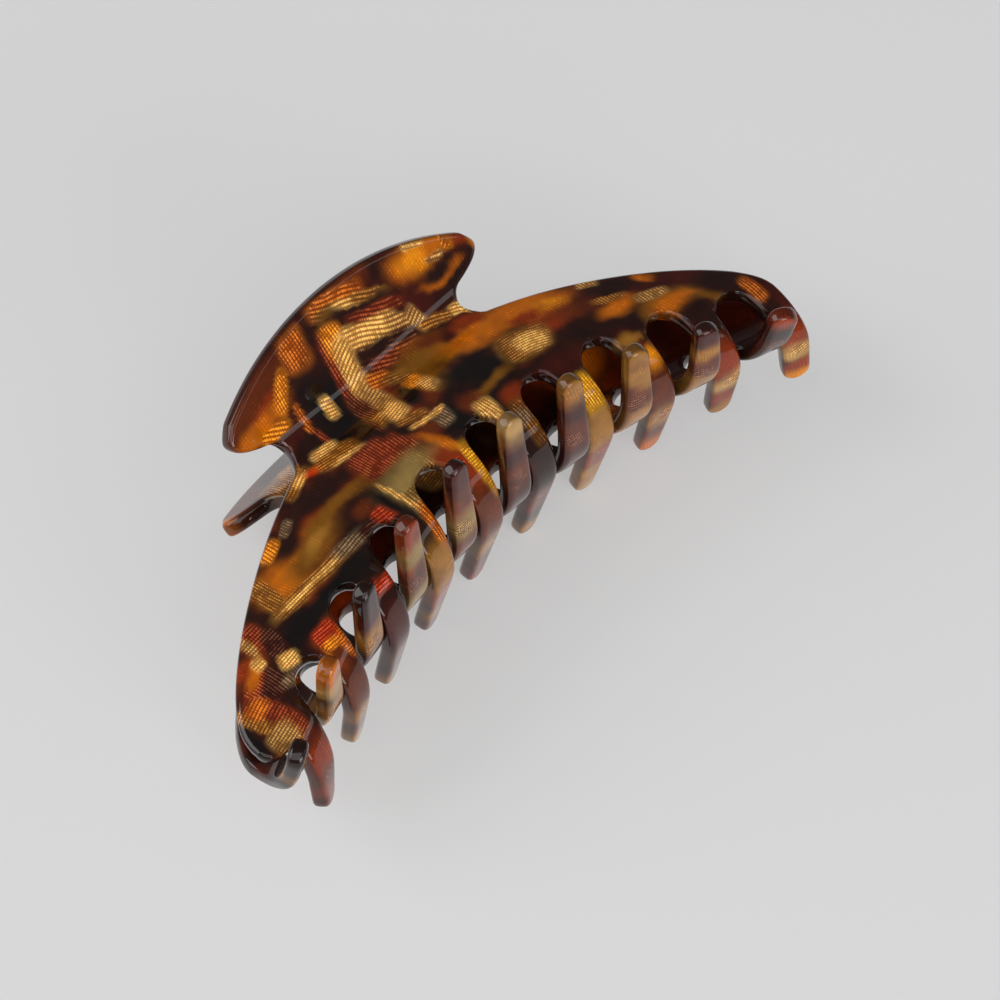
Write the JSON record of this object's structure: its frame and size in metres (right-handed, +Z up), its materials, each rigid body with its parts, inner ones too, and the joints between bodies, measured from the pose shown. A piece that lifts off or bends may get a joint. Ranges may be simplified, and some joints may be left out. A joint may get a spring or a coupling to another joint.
{
  "type": "claw clip",
  "caption": "Hair claw with curved bodies, flared thumb tabs, interleaving bent teeth and a hidden sprung hinge; squeezing the tabs opens the teeth.",
  "frame": {"origin": "under the middle of the clip's box, on the surface it stands on", "axes": "+X along the hinge, +Y from the teeth towards the thumb tabs, +Z up out of the front jaw"},
  "size_m": [0.1106, 0.0504, 0.0376],
  "materials": {
    "tortoiseshell_acetate": "polished, dark brown and amber blotches with gold brocade",
    "stamped_steel": "stamped, satin",
    "polished_steel": "polished",
    "spring_wire": "drawn wire"
  },
  "bodies": {
    "rear_side": {"rear_jaw": "tortoiseshell_acetate", "rear_hinge_leaf": "stamped_steel", "rear_left_tack": "polished_steel", "rear_right_tack": "polished_steel", "hinge_pin": "polished_steel", "torsion_spring": "spring_wire"},
    "front_side": {"front_jaw": "tortoiseshell_acetate", "front_hinge_leaf": "stamped_steel", "front_left_tack": "polished_steel", "front_right_tack": "polished_steel"}
  },
  "joints": [
    {"name": "jaw_hinge", "type": "hinge", "parent": "rear_side", "child": "front_side", "pos_m": [0, 0.01196, 0.01828], "axis": [-1, 0, 0], "range_deg": [0, 60], "stiffness_Nm_per_rad": 0.16, "springref_deg": -28.65, "deforming": ["torsion_spring"]}
  ]
}
